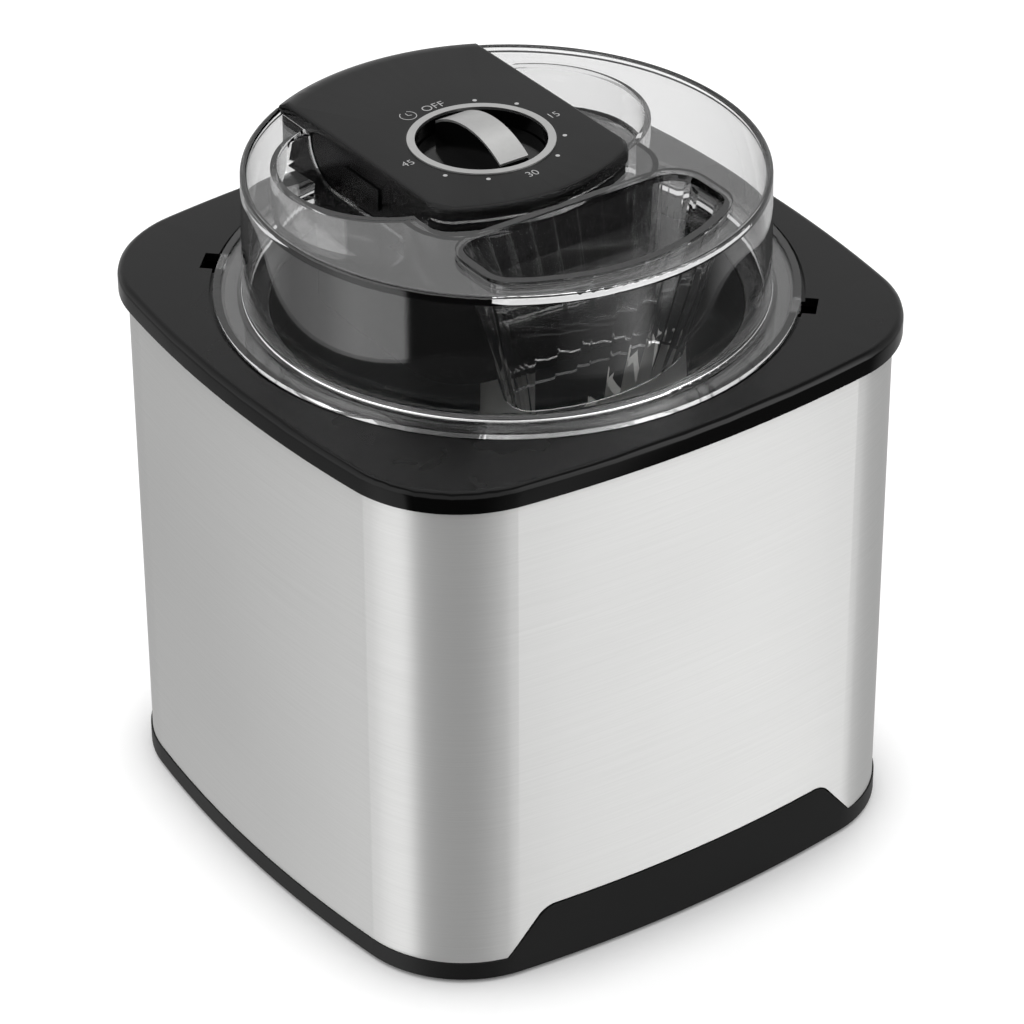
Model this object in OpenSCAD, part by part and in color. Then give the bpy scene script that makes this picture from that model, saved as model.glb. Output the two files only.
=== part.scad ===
// Ice cream maker with a freezer bowl.
// A steel-clad housing holds the bowl, and a clear lid with a feed chute
// carries the motor unit, whose gears turn the paddle.
// Millimetres. +Z is up, the front with the feed chute faces -Y,
// and the origin is on the table under the middle of the housing.

/* [Housing] */
// Height of the steel sleeve between the base and the cover
sleeve_h = 174.2; // [172:0.2:186]
// Thickness of the steel sheet
sleeve_t = 0.6; // [0.5:0.1:1]
// Radius of the gentle bulge of each side
side_r = 481.5; // [440:0.5:560]
// Radius of the upright corners of the sleeve
corner_r = 40.1; // [36:0.1:44]
// How far the sleeve reaches up into the cover
sleeve_tuck = 3; // [2:0.5:3.5]

/* [Base] */
// Height of the rubber feet below the base
foot_h = 1.5; // [1:0.5:3]
// Radius of each foot
foot_r = 8; // [6:0.5:9]
// Height of the visible black band under the sleeve
band_h = 6.4; // [5:0.2:9]
// How far the band stands out past the sleeve
band_out = 0.6; // [0.2:0.1:1.5]
// Thickness of the base's floor and of its inner wall
base_t = 2.4; // [2:0.2:3]
// Height of the apron above the band
apron_h = 16.2; // [12:0.2:22]
// Width of the apron's top edge
apron_top_w = 113; // [96:1:120]
// Extra width at each end of the apron's lower edge
apron_flare = 13.5; // [10:0.5:18]
// Radius of the apron's upper corners
apron_r = 8; // [2:0.5:12]
// Gap between the apron and the cut-out in the sleeve
apron_gap = 0.4; // [0.3:0.1:0.8]

/* [Top cover] */
// Height of the cover's visible edge
cover_h = 7.3; // [6.8:0.1:9]
// Width of the cover between the lid's recess and the sleeve's side
cover_w = 8.1; // [7:0.1:12]
// How far the cover overhangs the sleeve
cover_over = 3.2; // [2.8:0.1:4]
// Radius of the rounding on the cover's top edge
cover_round = 2.4; // [1:0.2:3]
// Wall thickness of the cover
cover_t = 3; // [2.4:0.2:3.4]
// Width of the ledge that the lid's flange lies on
ledge_w = 4.1; // [3.6:0.1:5]
// Depth of the recess over that ledge
recess_d = 1.5; // [1.2:0.1:1.8]
// Gap between the bowl's rim and the throat that it passes through
throat_gap = 1; // [0.6:0.1:1.5]
// Radius of the screw posts under the cover, one in each corner
post_r = 5.5; // [4.5:0.5:6]

/* [Liner] */
// Wall thickness of the liner
liner_t = 1.8; // [1.4:0.2:2]
// Height of the liner's underside above the table
liner_z = 20; // [16:1:22]
// How much narrower the liner is at the bottom, in radius
liner_draft = 1.6; // [0.6:0.2:2]
// Height of the ring inside the liner that the bowl stands on
seat_h = 4; // [3:0.5:6]

/* [Freezer bowl] */
// Outer radius of the bowl's shell at the top
bowl_r = 89.5; // [86:0.5:92]
// How much narrower the shell is at the bottom, in radius
shell_draft = 3.5; // [2:0.5:5]
// Thickness of the cooling jacket round the cup, with the shell's wall
jacket_t = 11.5; // [10:0.5:13]
// How much narrower the metal cup is at its floor, in radius
cup_draft = 5.5; // [3.5:0.5:8]
// Thickness of the metal cup
cup_t = 1.2; // [1:0.1:1.6]
// Height of the cup's floor above the bowl's underside
cup_lift = 20; // [16:1:24]
// How far the rim ring stands out past the shell
rim_over = 2.1; // [1.5:0.1:2.5]
// Thickness of the rim ring
rim_h = 3.4; // [3:0.2:4]
// Radius of the pin in the cup's floor that the paddle turns on
pin_r = 4; // [3:0.5:5]

/* [Lid] */
// Height of the lid's rim above the cover
lid_h = 43.8; // [42.8:0.2:45]
// Wall thickness of the lid
lid_t = 2.2; // [1.8:0.1:2.4]
// How much narrower the lid's wall is at its top, in radius
lid_draft = 0.9; // [0.5:0.1:1.4]
// Width of the flange outside the lid's wall
flange_w = 9.3; // [8.5:0.1:10.5]
// Gap between the flange and the edge of its recess
flange_gap = 1.3; // [0.8:0.1:1.6]
// How far the deck lies below the rim
deck_drop = 1.6; // [1.2:0.1:2.2]
// Depth of the finger pockets below the deck
pocket_d = 15.5; // [13:0.5:16.5]
// Radius of the finger pockets
pocket_r = 36.5; // [35:0.5:37.5]
// Distance of the skirt and the chute's throat below the deck
skirt_drop = 52.5; // [50:0.5:54]
// Width of the gap between the feed chute and the lid's wall
chute_gap = 7; // [5:0.5:9]
// How far the chute's front slopes in from its mouth to its throat
chute_slope = 13.5; // [8:0.5:18]

/* [Motor unit] */
// Width of the motor unit's top plate
unit_w = 76.4; // [74:0.2:77.5]
// Height of the top plate above the deck
unit_rise = 4.5; // [4.4:0.1:6]
// Radius of the rounding on the top plate's edge
plate_round = 1.6; // [0.6:0.1:2]
// Length over which the plate curves down to the lid's rim at the rear
rear_fall_l = 8; // [5:0.5:9]
// How far the plate curves down there
rear_fall = 4; // [3:0.1:4.3]
// How far the plate overhangs the unit's walls and rests on the deck
unit_lap = 1; // [0.8:0.1:1.4]
// Wall thickness of the motor unit
unit_t = 2; // [1.6:0.1:2.2]
// Radius of the curved front edge of the top plate
unit_front_r = 66; // [60:1:80]
// Distance of the plate's front edge from the bowl's axis
unit_front = 28.2; // [27:0.2:28.6]
// Radius of the plate's front corners
unit_corner_r = 10; // [7:0.5:12]
// Distance of the motor and the gear cup behind the bowl's axis
gearcup_y = 5; // [4:0.5:6]

/* [Timer] */
// Distance of the dial behind the bowl's axis
dial_y = 14; // [13:0.5:15]
// Outer radius of the dial's ring
ring_r = 24.1; // [23.5:0.1:24.6]
// Width of the dial's ring
ring_w = 2.6; // [2:0.1:3]
// Depth of the well that the knob sits in
well_d = 7.7; // [6.5:0.1:8]
// Length of the knob's arched grip
grip_len = 36.6; // [32:0.2:39]
// Width of the knob's arched grip
grip_w = 11; // [8:0.5:13]
// Rise of the grip's arch above its ends
grip_rise = 5.5; // [4:0.5:8]

/* [Latches] */
// Length of each latch button
button_l = 20; // [16:1:22]
// Height of each latch button
button_h = 8; // [6:0.5:8.5]
// Travel of each latch
latch_travel = 2; // [1.5:0.1:2.2]

/* [Gears] */
// Gear module
gear_m = 0.7; // [0.68:0.01:0.71]
// Teeth of each pinion
pinion_teeth = 12; // [12]
// Teeth of each intermediate wheel
wheel_teeth = 30; // [30]
// Teeth of the output gear
output_teeth = 42; // [42]
// Thickness of the output gear
output_face = 5; // [4:0.5:5.5]
// Thickness of each intermediate wheel
wheel_face = 3.4; // [3:0.1:3.6]
// Radius of the gears' fixed pins
gearpin_r = 1.5; // [1.2:0.1:1.8]
// Radius of the output shaft in its bush
shaft_r = 5; // [4.5:0.1:5.5]
// Width across the flats of the drive hexagon
hex_w = 9; // [8:0.2:9.4]

/* [Paddle] */
// Gap between the paddle and the cup's wall
paddle_gap = 3; // [2:0.5:6]
// Thickness of the paddle's blades
paddle_t = 3; // [2.4:0.2:4]
// Outer radius of the paddle's hub
hub_r = 9; // [8.5:0.5:11]

/* [Fits] */
// Radial clearance of a running shaft or pin
running_gap = 0.05; // [0.03:0.01:0.09]
// Gap between parts that lift apart
lift_gap = 0.4; // [0.3:0.1:0.5]
// Gap between neighbouring parts that move apart
part_gap = 0.3; // [0.3:0.1:0.4]

/* [Hidden] */
$fn = 96;
eps = 0.01;

// Radii from the bowl out to the sleeve
cup_r = bowl_r - jacket_t;
cup_floor_r = cup_r - cup_draft;
rim_r = bowl_r + rim_over;
throat_r = rim_r + throat_gap;
recess_r = throat_r + ledge_w;
flange_r = recess_r - flange_gap;
lid_foot_r = flange_r - flange_w;
lid_r = lid_foot_r - lid_draft;

// Half-widths of the housing's outlines
sleeve_half = recess_r + cover_w;
inner_half = sleeve_half - sleeve_t;
fit_gap = 0.2;
tongue_half = inner_half - fit_gap;

// Heights of the housing
sleeve_z = foot_h + band_h;
cover_z = sleeve_z + sleeve_h;
cover_top = cover_z + cover_h;
recess_z = cover_top - recess_d;
hollow_z = cover_top - cover_t;
base_floor_z = foot_h + base_t;
apron_z = sleeve_z + apron_h;
tongue_h = 8;
collar_h = 6;
collar_z = cover_z - collar_h;
collar_t = 2.6;

// Liner, and the tabs that hang it under the cover
liner_step = 0.6;
liner_top_r = throat_r + liner_step;
liner_out_r = liner_top_r + liner_t;
liner_floor_top = liner_z + liner_t;
tab_at = liner_out_r + 7;
tab_angle = 30;
tab_r = 4.5;
seat_r = bowl_r - shell_draft - 25;
seat_w = 2;

// Feet, screw posts, and the stand and ribs of the base
foot_x = 62;
foot_y = 82;
foot_key = 1;
foot_taper = 0.8;
post_wall = 1.5;
post_base_h = 6;
post_foot_z = base_floor_z + post_base_h;
post_at = (liner_out_r + post_r + 7) / sqrt(2);
stand_r = 50;
rib_h = 5;
rib_reach = tongue_half - base_t - 14;

// Screws
screw_r = 1.5;
screw_head_r = 3;
screw_head_h = 2;
screw_gap = 0.2;
head_gap = 0.4;
head_sink = 1;
base_screw_l = 18;
liner_screw_l = 8;
unit_screw_l = 9;

// Locking notches of the cover and lugs of the lid
notch_angles = [136, 316];
notch_w = 10;
notch_reach = 4.3;
lug_gap = 0.7;
catch_angles = [55, 235];
catch_w = 13;
catch_stem_w = 6.5;
catch_l = 5;

// Heights of the bowl
bowl_z = liner_floor_top + seat_h;
rim_gap = 0.6;
rim_z = recess_z - rim_gap - rim_h;
rim_lip = 1;
cup_floor_z = bowl_z + cup_lift;
pin_h = 5;
pin_bevel = 1;
shell_t = 2;
coolant_room = 16;

// Paddle and the shaft that drives it
hub_z = cup_floor_z + part_gap;
socket_d = 18;
blade_bar = 9;

// Heights of the lid
rim_top = cover_top + lid_h;
deck_top = rim_top - deck_drop;
deck_z = deck_top - lid_t;
deck_lap = 0.4;
skirt_z = deck_top - skirt_drop;
flange_t = 1.9;
flange_lip_h = 2.6;
flange_lip_w = 2.3;
flange_top = recess_z + flange_lip_h;
flange_inner_top = recess_z + flange_t;
foot_fillet = 2;

// Finger pockets: the place of their centres follows the lid's wall
pocket_t = 1.8;
pocket_floor = deck_top - pocket_d;
pocket_under = pocket_floor - pocket_t;
pocket_margin = 9;
pocket_angle = 41.76;
pocket_at = lid_r - lid_t - pocket_margin - pocket_r;
pocket_x = pocket_at * cos(pocket_angle);
pocket_y = pocket_at * sin(pocket_angle);
pocket_wall = 2;
pocket_scoop_r = 14;
pocket_rear = 4;

// Motor unit
unit_half = unit_w / 2;
unit_top = deck_top + unit_rise;
unit_split = pocket_under - fit_gap;
unit_base_z = unit_split - unit_t;
unit_rear_r = lid_r - fit_gap;
unit_corner_x = unit_half - unit_corner_r;
unit_front_arc = unit_front_r - unit_corner_r;
unit_corner_angle = asin(unit_corner_x / unit_front_arc);
unit_corner_y = unit_front_r - unit_front - unit_front_arc * cos(unit_corner_angle);
unit_boss_r = 3.4;
unit_boss_in = 2.7;

// Gear train
pressure = 25;
gear_thin = 0.06;
output_r = gear_m * output_teeth / 2;
pinion_r = gear_m * pinion_teeth / 2;
wheel_r = gear_m * wheel_teeth / 2;
rotor_at = [0, gearcup_y];
second_angle = 50;
second_at = (output_r + pinion_r) * [cos(second_angle), sin(second_angle)];
first_at = meet(rotor_at, second_at, pinion_r + wheel_r);

// Gear cup: its wall clears the widest gear
cup_wall_t = 2;
gear_room = 0.9;
gearcup_inner = norm(second_at - [0, gearcup_y]) + wheel_r + gear_m + gear_room;
gearcup_r = gearcup_inner + cup_wall_t;
gearcup_z = skirt_z - 3;
gearcup_floor = gearcup_z + cup_wall_t;
hub_top = gearcup_z - 4.5;
blade_top = hub_top - 22;
bush_r = shaft_r + 1.6;

// Heights of the gear train and the motor
gear_gap = 0.5;
low_z = gearcup_floor + 2 * gear_gap;
mid_z = low_z + output_face + gear_gap;
high_z = mid_z + wheel_face + gear_gap;
plate_z = high_z + wheel_face + 2 * gear_gap;
plate_t = 2;
motor_z = plate_z + plate_t;
motor_r = 22;
motor_gap = 0.8;
rotor_in = 6;
shaft_step = 1;
bush_collar_t = 1.2;
motor_top = unit_base_z - motor_gap;
gearpost_r = 2.5;
gearpost_screw_r = 1;
gearpost_at = gearcup_inner - 3.4;
gearpost_angles = [212.5, 327.5, 166.5];
pin_boss_r = 3;

// Skirt of the lid round the gear cup
skirt_t = 2;
skirt_ahead = 4.8;
skirt_room = 5.8;
skirt_l = 90;
skirt_corner_r = 20;
skirt_half = unit_half + skirt_room + skirt_t;
skirt_front = -unit_front - skirt_ahead;
skirt_rear = skirt_front + skirt_l;

// Screw bosses of the motor unit: in its front corners and behind the skirt
unit_boss_x = unit_half - unit_lap - unit_t - unit_boss_in;
unit_boss_front = unit_corner_y;
unit_boss_rear = skirt_rear + screw_head_r + 1;

// Feed chute: mouth at the deck, throat at the skirt's lower edge
chute_t = 2;
chute_lip_w = 2.6;
chute_mouth_r = 12;
chute_mouth_arc = lid_r - lid_t - chute_gap - chute_mouth_r;
chute_mouth_angle = 33;
chute_mouth_rear = -unit_front - 2.6 - chute_mouth_r;
chute_throat_r = 7.5;
chute_throat_arc = chute_mouth_arc + chute_mouth_r - chute_slope - chute_throat_r;
chute_throat_angle = 27;
chute_throat_rear = chute_mouth_rear + chute_mouth_r - 8.2 - chute_throat_r;

// Cord gland in the rear wall of the motor unit
gland_r = 6.5;
gland_neck_r = 5;
gland_neck_l = 9;
gland_bore_r = 3.3;
gland_flange_t = 2;
gland_y = unit_rear_r - unit_lap;
gland_z = (unit_split + unit_top) / 2;

// Terminal block
block_size = [26, 11, 8];
block_y = 50;
block_pitch = 4;
block_hole_r = 1.2;

// Dial, knob and timer
well_r = ring_r - ring_w;
well_floor = unit_top - well_d;
well_t = 1.8;
ring_h = 1;
knob_r = well_r - part_gap - fit_gap;
knob_disc_t = 1.8;
grip_end_z = unit_top + 0.5;
grip_r = (pow(grip_len / 2, 2) + pow(grip_rise, 2)) / (2 * grip_rise);
strip_t = 0.8;
timer_r = well_r - 2.5;
timer_shaft_r = 3;
timer_shaft_in = 6;
timer_floor_t = 3;

// Latches
button_y = 27;
button_z = pocket_floor + 8.2;
button_proud = 0.8;
button_gap = 0.3;
latch_face = unit_half - unit_lap;
latch_bite = 0.2;
latch_guide_t = 1.6;
latch_guide_face = latch_face - unit_t - latch_travel - 0.1;
tooth_l = 9;

// Where two circles of equal radius about p and q meet, on p's left side
function meet(p, q, r) =
  let (d = q - p, half = norm(d) / 2, h = sqrt(r * r - half * half))
  (p + q) / 2 + h * [-d[1], d[0]] / (2 * half);

// Direction in degrees from p to q
function heading(p, q) = atan2(q[1] - p[1], q[0] - p[0]);

// Tooth phase of a gear of n2 teeth that meshes with one of n1 teeth,
// whose own phase is phase1, along the centre line at angle a
function mesh_phase(a, n1, phase1, n2) =
  a + 180 + 180 / n2 + (a - phase1) * n1 / n2;

// Phases at which the train is in mesh
phase_output = 0;
to_second = heading([0, 0], second_at);
phase_second_pinion = mesh_phase(to_second, output_teeth, phase_output, pinion_teeth);
to_first = heading(second_at, first_at);
phase_second_wheel = 0;
phase_first_pinion = mesh_phase(to_first, wheel_teeth, phase_second_wheel, pinion_teeth);
to_rotor = heading(first_at, rotor_at);
phase_first_wheel = 0;
phase_rotor = mesh_phase(to_rotor, wheel_teeth, phase_first_wheel, pinion_teeth);

// ---- Shared shapes ----

// Square outline with gently bulging sides and round corners. Every
// outline of the housing is the sleeve's one, moved outward by grow.
module outline(grow = 0) {
  half = sleeve_half + grow;
  side = side_r + grow;
  corner = corner_r + grow;
  k = half - side;
  q = side - corner;
  c = (2 * k + sqrt(4 * k * k - 8 * (k * k - q * q))) / 4;
  t = atan2(c, c - k);
  tangent = k + side * (cos(t) + sin(t));
  intersection() {
    intersection_for(a = [0, 90, 180, 270])
      rotate(a) translate([k, 0]) circle(r = side, $fn = 360);
    union() {
      rotate(45) square(tangent * sqrt(2), center = true);
      for (a = [45, 135, 225, 315])
        rotate(a) translate([c * sqrt(2), 0]) circle(r = corner);
    }
  }
}

module slab(z0, z1, grow) {
  translate([0, 0, z0]) linear_extrude(z1 - z0) outline(grow);
}

module tube(z0, z1, r_out, r_in) {
  translate([0, 0, z0])
    difference() {
      cylinder(r = r_out, h = z1 - z0);
      translate([0, 0, -1]) cylinder(r = r_in, h = z1 - z0 + 2);
    }
}

module at_corners(d) {
  for (x = [-1, 1], y = [-1, 1]) translate([x * d, y * d, 0]) children();
}

module around(angle, radius) {
  for (a = [0, 90, 180, 270])
    rotate(a + angle) translate([radius, 0, 0]) children();
}

// Points of an arc of steps + 1 points
function arc_points(centre, r, a0, a1, steps) = [
  for (i = [0 : steps])
    let (a = a0 + (a1 - a0) * i / steps) centre + r * [cos(a), sin(a)]
];

function blend(low, high, t) = low + (high - low) * t;

// ---- Base ----

// Front view of the apron, grown by gap, with round upper corners
module apron_face(gap) {
  low = apron_top_w / 2 + apron_flare + gap;
  high = apron_top_w / 2 + gap;
  top = apron_z + gap;
  slope = atan2(top - sleeve_z, apron_flare);
  r = apron_r + gap;
  centre = [high - r * tan(slope / 2), top - r];
  half = concat(
    [[low, sleeve_z - 1], [low, sleeve_z]],
    arc_points(centre, r, 90 - slope, 90, 6)
  );
  polygon(concat(
    half,
    [for (i = [len(half) - 1 : -1 : 0]) [-half[i][0], half[i][1]]]
  ));
}

// Block of the apron's outline, through the front of the housing
module apron_block(gap) {
  depth = 10;
  translate([0, -sleeve_half + depth, 0])
    rotate([90, 0, 0]) linear_extrude(2 * depth) apron_face(gap);
}

module foot_places() {
  for (x = [-1, 1], y = [-1, 1]) translate([x * foot_x, y * foot_y, 0]) children();
}

module base() {
  color("#222222")
  difference() {
    union() {
      difference() {
        slab(foot_h, sleeve_z, band_out);
        slab(base_floor_z, sleeve_z + 1, tongue_half - sleeve_half - base_t);
      }
      difference() {
        slab(base_floor_z, sleeve_z + tongue_h, tongue_half - sleeve_half);
        slab(base_floor_z, sleeve_z + tongue_h + 1, tongue_half - sleeve_half - base_t);
      }
      intersection() {
        apron_block(0);
        difference() {
          slab(base_floor_z, apron_z + 1, band_out);
          slab(base_floor_z - 1, apron_z + 2, tongue_half - sleeve_half - base_t);
        }
      }
      at_corners(post_at)
        translate([0, 0, foot_h]) cylinder(r = post_r + post_wall, h = post_foot_z - foot_h);
      tube(base_floor_z - eps, liner_z, stand_r, stand_r - base_t);
      for (a = [0, 45, 90, 135]) rotate(a)
        translate([-rib_reach, -base_t / 2, base_floor_z - eps])
          cube([2 * rib_reach, base_t, rib_h]);
    }
    at_corners(post_at) {
      cylinder(r = screw_r + screw_gap, h = post_foot_z + 1);
      cylinder(r = screw_head_r + head_gap, h = foot_h + screw_head_h + head_sink);
    }
    foot_places() cylinder(r = foot_r, h = foot_h + foot_key);
  }
}

module feet() {
  color("#2b2b2b")
  foot_places() {
    cylinder(r1 = foot_r - foot_taper, r2 = foot_r, h = foot_h);
    translate([0, 0, foot_h - eps]) cylinder(r = foot_r, h = foot_key + eps);
  }
}

// A screw that points up from its head's seat
module screw(length) {
  translate([0, 0, -screw_head_h]) cylinder(r = screw_head_r, h = screw_head_h);
  cylinder(r = screw_r, h = length);
}

module base_screws() {
  color("#8a8a8a")
  at_corners(post_at)
    translate([0, 0, foot_h + screw_head_h + head_sink]) screw(base_screw_l);
}

// ---- Steel sleeve ----

module steel_sleeve() {
  color("#c6c6c6")
  difference() {
    slab(sleeve_z, cover_z + sleeve_tuck, 0);
    slab(sleeve_z - 1, cover_z + sleeve_tuck + 1, -sleeve_t);
    apron_block(apron_gap);
  }
}

// ---- Top cover ----

module cover_crown() {
  hull() {
    slab(cover_z, cover_top - cover_round, cover_over);
    for (a = [30, 60, 90])
      slab(cover_z, cover_top - cover_round * (1 - sin(a)),
        cover_over - cover_round * (1 - cos(a)));
  }
}

module notches() {
  for (a = notch_angles)
    rotate(a) translate([throat_r - 1, -notch_w / 2, hollow_z - 1])
      cube([recess_r + notch_reach - throat_r + 1, notch_w, cover_t + 2]);
}

module top_cover() {
  skirt_in = tongue_half - sleeve_half;
  color("#2e2e2e")
  difference() {
    union() {
      difference() {
        cover_crown();
        slab(cover_z - 1, hollow_z, skirt_in - base_t);
      }
      difference() {
        slab(collar_z, hollow_z, skirt_in);
        slab(collar_z - 1, hollow_z + 1, skirt_in - base_t);
      }
      tube(collar_z, hollow_z + eps, throat_r + collar_t, throat_r);
      at_corners(post_at)
        translate([0, 0, post_foot_z])
          cylinder(r = post_r, h = hollow_z - post_foot_z + eps);
      around(tab_angle, tab_at)
        translate([0, 0, collar_z]) cylinder(r = tab_r, h = hollow_z - collar_z + eps);
    }
    translate([0, 0, collar_z - 1]) cylinder(r = throat_r, h = collar_h + cover_h + 2);
    translate([0, 0, recess_z]) cylinder(r = recess_r, h = recess_d + 1);
    difference() {
      slab(cover_z - 1, cover_z + sleeve_tuck + part_gap, part_gap);
      slab(cover_z - 2, cover_z + sleeve_tuck + 1, skirt_in);
    }
    notches();
    at_corners(post_at)
      translate([0, 0, post_foot_z - 1]) cylinder(r = screw_r, h = base_screw_l);
    around(tab_angle, tab_at)
      translate([0, 0, collar_z - 1]) cylinder(r = screw_r, h = liner_screw_l);
  }
}

// ---- Liner ----

module liner() {
  wall_h = collar_z - liner_z;
  color("#3a3a3a")
  difference() {
    union() {
      translate([0, 0, liner_z])
        cylinder(r1 = liner_out_r - liner_draft, r2 = liner_out_r, h = wall_h);
      around(tab_angle, tab_at)
        translate([0, 0, collar_z - base_t]) cylinder(r = tab_r, h = base_t);
      around(tab_angle, 0)
        translate([liner_top_r + 1, -tab_r, collar_z - base_t])
          cube([tab_at - liner_top_r - 1, 2 * tab_r, base_t]);
    }
    difference() {
      translate([0, 0, liner_floor_top])
        cylinder(r1 = liner_top_r - liner_draft, r2 = liner_top_r, h = wall_h);
      tube(liner_floor_top - 1, bowl_z, seat_r + seat_w / 2, seat_r - seat_w / 2);
    }
    around(tab_angle, tab_at)
      translate([0, 0, collar_z - base_t - 1]) cylinder(r = screw_r + screw_gap, h = base_t + 2);
  }
}

module liner_screws() {
  color("#8a8a8a")
  around(tab_angle, tab_at) translate([0, 0, collar_z - base_t]) screw(liner_screw_l);
}

// ---- Freezer bowl ----

module bowl_shell() {
  shell_h = rim_z - bowl_z;
  color("#d9dcdd")
  difference() {
    translate([0, 0, bowl_z]) cylinder(r1 = bowl_r - shell_draft, r2 = bowl_r, h = shell_h);
    translate([0, 0, bowl_z + shell_t])
      cylinder(r1 = bowl_r - shell_draft - shell_t, r2 = bowl_r - shell_t, h = shell_h);
  }
}

module bowl_cup() {
  cup_h = rim_z - cup_floor_z;
  flange = bowl_r - shell_t - part_gap;
  color("#5e6163")
  rotate_extrude()
  polygon([
    [0, cup_floor_z - cup_t],
    [cup_floor_r + cup_t, cup_floor_z - cup_t],
    [cup_r + cup_t, rim_z - cup_t],
    [flange, rim_z - cup_t],
    [flange, rim_z],
    [cup_r, rim_z],
    [cup_floor_r, cup_floor_z],
    [pin_r, cup_floor_z],
    [pin_r, cup_floor_z + pin_h - pin_bevel],
    [pin_r - pin_bevel, cup_floor_z + pin_h],
    [0, cup_floor_z + pin_h]
  ]);
}

// Cooling liquid, with room left above it to swell
module bowl_coolant() {
  level = rim_z - coolant_room;
  gap = part_gap;
  rise = (level - bowl_z) / (rim_z - bowl_z);
  color("#6fa8c9")
  rotate_extrude()
  polygon([
    [0, bowl_z + shell_t + gap],
    [bowl_r - shell_draft - shell_t - gap, bowl_z + shell_t + gap],
    [bowl_r - shell_draft * (1 - rise) - shell_t - gap, level],
    [cup_r + cup_t + gap, level],
    [cup_floor_r + cup_t + gap, cup_floor_z - cup_t - gap],
    [0, cup_floor_z - cup_t - gap]
  ]);
}

module bowl_rim() {
  round_r = rim_h / 2;
  inner_r = cup_r - rim_lip;
  color("#2a2a2a")
  difference() {
    union() {
      tube(rim_z, rim_z + rim_h, rim_r, inner_r + round_r);
      rotate_extrude() translate([inner_r + round_r, rim_z + round_r]) circle(r = round_r);
    }
    translate([0, 0, rim_z - 1]) cylinder(r = inner_r, h = rim_h + 2);
  }
}

// ---- Paddle ----

// Reach of the blade at height z, beside the sloping wall of the cup
function reach(z) =
  cup_floor_r + (cup_r - cup_floor_r) * (z - cup_floor_z) / (rim_z - cup_floor_z) - paddle_gap;

// One blade: a bar along the cup's wall, a foot bar and a sloping brace
module blade_frame() {
  bar = blade_bar;
  foot = hub_z + 1;
  corner = bar / 2;
  brace_drop = 3.4 * bar;
  slot_x = hub_r + corner;
  difference() {
    polygon([
      [0, foot], [reach(foot) - corner, foot], [reach(foot + bar), foot + bar],
      [reach(blade_top), blade_top], [reach(blade_top) - bar, blade_top],
      [hub_r, blade_top - brace_drop], [0, blade_top - brace_drop]
    ]);
    polygon([
      [slot_x, foot + bar], [reach(foot) - bar - corner, foot + bar],
      [reach(blade_top - 6 * bar) - bar, blade_top - 5.5 * bar],
      [slot_x, blade_top - 7 * bar]
    ]);
  }
}

module paddle() {
  color("#e9e9e6")
  difference() {
    union() {
      translate([0, 0, hub_z]) cylinder(r = hub_r, h = hub_top - hub_z);
      for (a = [0, 180])
        rotate(a) translate([0, paddle_t / 2, 0])
          rotate([90, 0, 0]) linear_extrude(paddle_t) blade_frame();
    }
    translate([0, 0, hub_z - 1]) cylinder(r = pin_r + running_gap, h = pin_h + 2);
    translate([0, 0, hub_top - socket_d])
      linear_extrude(socket_d + 1) hexagon(hex_w + 2 * part_gap);
  }
}

module hexagon(width) {
  circle(r = width / sqrt(3), $fn = 6);
}

// ---- Lid ----

// Outline of the chute at height z, with its wall's thickness taken off:
// a straight rear side, a front side round the bowl's axis and round corners
function chute_ring(z, mouth_wall, throat_wall) =
  let (
    t = (z - skirt_z) / (rim_top - skirt_z),
    r = blend(chute_throat_r - throat_wall, chute_mouth_r - mouth_wall, t),
    arc = blend(chute_throat_arc, chute_mouth_arc, t),
    spread = blend(chute_throat_angle, chute_mouth_angle, t),
    rear = blend(chute_throat_rear, chute_mouth_rear, t),
    side = arc * sin(spread),
    front = -arc * cos(spread)
  )
  concat(
    arc_points([side, rear], r, 0, 90, 6),
    arc_points([-side, rear], r, 90, 180, 6),
    arc_points([-side, front], r, 180, 270 - spread, 5),
    arc_points([0, 0], arc + r, 270 - spread + 5, 270 + spread - 5, 8),
    arc_points([side, front], r, 270 + spread, 360, 5)
  );

// The chute narrows from its mouth in the deck to its throat in the bowl
module chute_solid(mouth_wall, throat_wall, over) {
  low = skirt_z - over;
  high = rim_top + over;
  bottom = chute_ring(low, mouth_wall, throat_wall);
  top = chute_ring(high, mouth_wall, throat_wall);
  n = len(top);
  polyhedron(
    points = concat(
      [for (p = bottom) [p[0], p[1], low]],
      [for (p = top) [p[0], p[1], high]]
    ),
    faces = concat(
      [[for (i = [0 : n - 1]) i]],
      [[for (i = [n - 1 : -1 : 0]) n + i]],
      [for (i = [0 : n - 1]) let (j = (i + 1) % n) [i, n + i, n + j]],
      [for (i = [0 : n - 1]) let (j = (i + 1) % n) [i, n + j, j]]
    )
  );
}

// Plan of both finger pockets, grown by grow
module pocket_plan(grow = 0) {
  for (s = [-1, 1]) translate([s * pocket_x, pocket_y]) circle(r = pocket_r + grow);
}

// Shape of the finger pockets' hollow, with a scooped rear end
module pocket_hollow(floor_z, grow) {
  scoop = pocket_scoop_r + grow;
  rear = pocket_y + pocket_r + grow - pocket_rear;
  difference() {
    translate([0, 0, floor_z]) linear_extrude(rim_top - floor_z) pocket_plan(grow);
    difference() {
      translate([-lid_r, rear - scoop, floor_z - 1]) cube([2 * lid_r, lid_r, scoop + 1]);
      translate([-lid_r - 1, rear - scoop, floor_z + scoop])
        rotate([0, 90, 0]) cylinder(r = scoop, h = 2 * lid_r + 2);
    }
  }
}

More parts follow.
